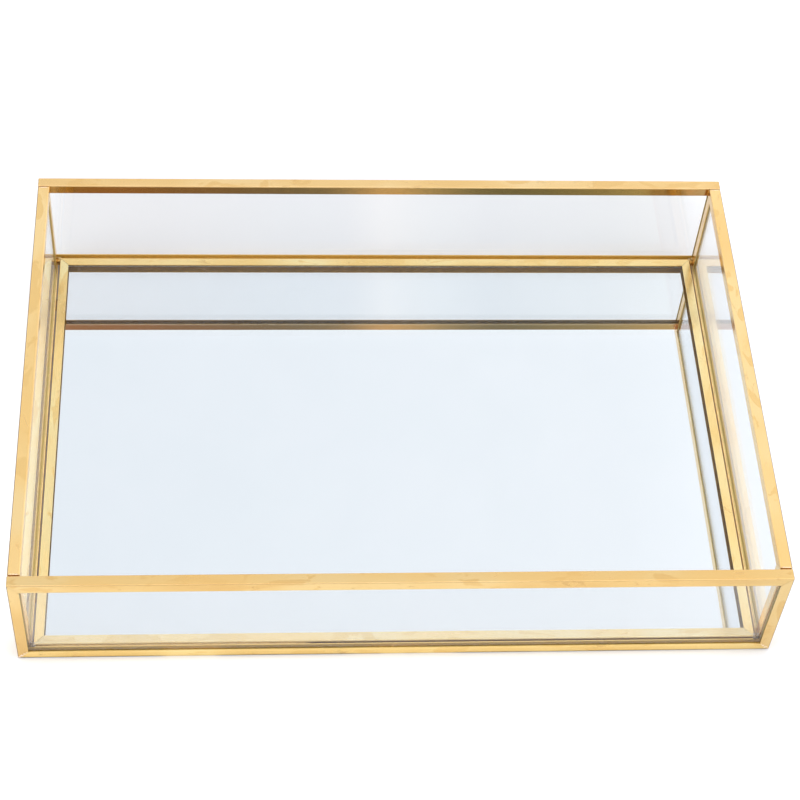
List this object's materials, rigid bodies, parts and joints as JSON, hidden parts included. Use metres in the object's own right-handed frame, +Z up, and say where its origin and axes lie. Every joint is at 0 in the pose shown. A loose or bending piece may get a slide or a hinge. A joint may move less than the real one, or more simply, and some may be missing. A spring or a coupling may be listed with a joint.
{
  "type": "vanity tray",
  "caption": "Open rectangular tray of clear glass walls edged in brass channel, with a framed mirror base, for perfume bottles on a dresser.",
  "frame": {"origin": "middle of the tray's footprint, at the level of the surface it rests on", "axes": "+X along the tray's width, -Y towards the front, +Z up"},
  "size_m": [0.3, 0.21, 0.052],
  "materials": {
    "brass": "bright with light patina",
    "clear_glass": "clear, polished",
    "mirror_glass": "clear, polished",
    "mirror_silver": "silvered",
    "solder": "dull"
  },
  "bodies": {
    "root": {"front_top_channel": "brass", "front_bottom_channel": "brass", "front_left_upright": "brass", "front_right_upright": "brass", "back_top_channel": "brass", "back_bottom_channel": "brass", "back_left_upright": "brass", "back_right_upright": "brass", "left_top_channel": "brass", "left_bottom_channel": "brass", "left_front_upright": "brass", "left_back_upright": "brass", "right_top_channel": "brass", "right_bottom_channel": "brass", "right_front_upright": "brass", "right_back_upright": "brass", "mirror_frame_front": "brass", "mirror_frame_back": "brass", "mirror_frame_left": "brass", "mirror_frame_right": "brass", "front_glass_pane": "clear_glass", "back_glass_pane": "clear_glass", "left_glass_pane": "clear_glass", "right_glass_pane": "clear_glass", "mirror_glass": "mirror_glass", "mirror_backing": "mirror_silver", "corner_solder_seams": "solder", "mirror_solder_tacks": "solder"}
  },
  "joints": []
}
